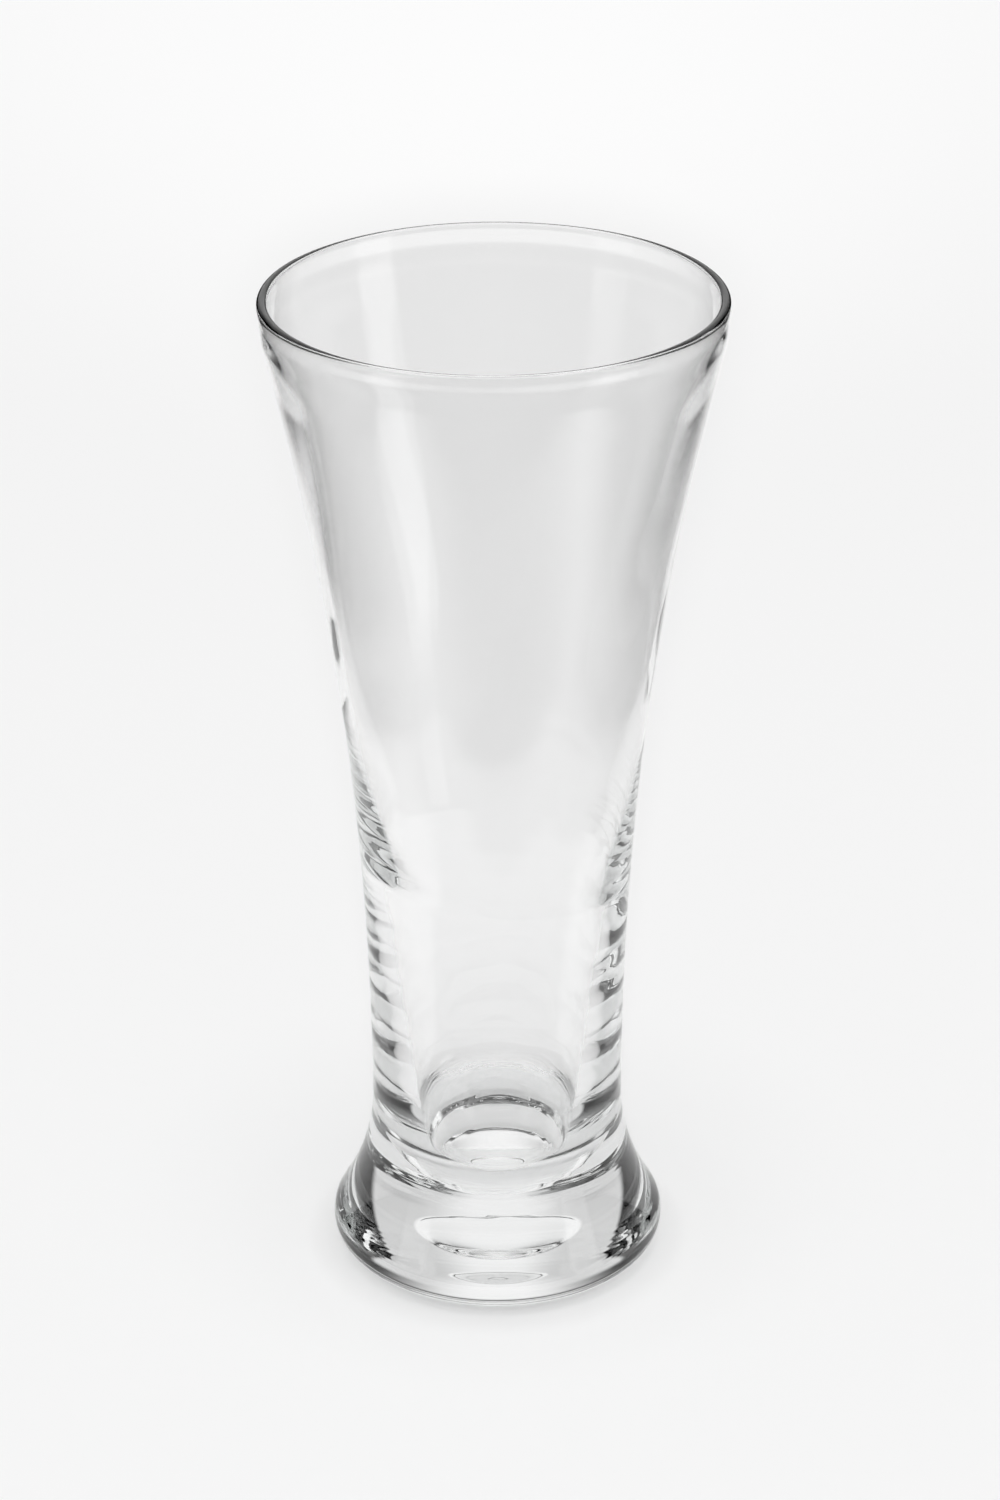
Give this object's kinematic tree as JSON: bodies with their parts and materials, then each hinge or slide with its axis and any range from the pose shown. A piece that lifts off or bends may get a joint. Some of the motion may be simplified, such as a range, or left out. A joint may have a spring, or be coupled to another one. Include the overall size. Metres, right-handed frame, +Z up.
{
  "type": "pilsner glass",
  "caption": "Tall clear beer glass with a flared thin-walled bowl, a rounded lip, a slim waist and a heavy solid foot with a flat ring to stand on.",
  "frame": {"origin": "on the table, under the middle of the foot", "axes": "+Z up along the axis of the glass, from the foot to the rim; +X to the right and +Y away from the viewer"},
  "size_m": [0.0784, 0.0784, 0.18],
  "materials": {
    "clear_glass": "fire-polished clear soda-lime glass"
  },
  "bodies": {
    "root": {"rim": "clear_glass", "bowl": "clear_glass", "foot": "clear_glass"}
  },
  "joints": []
}
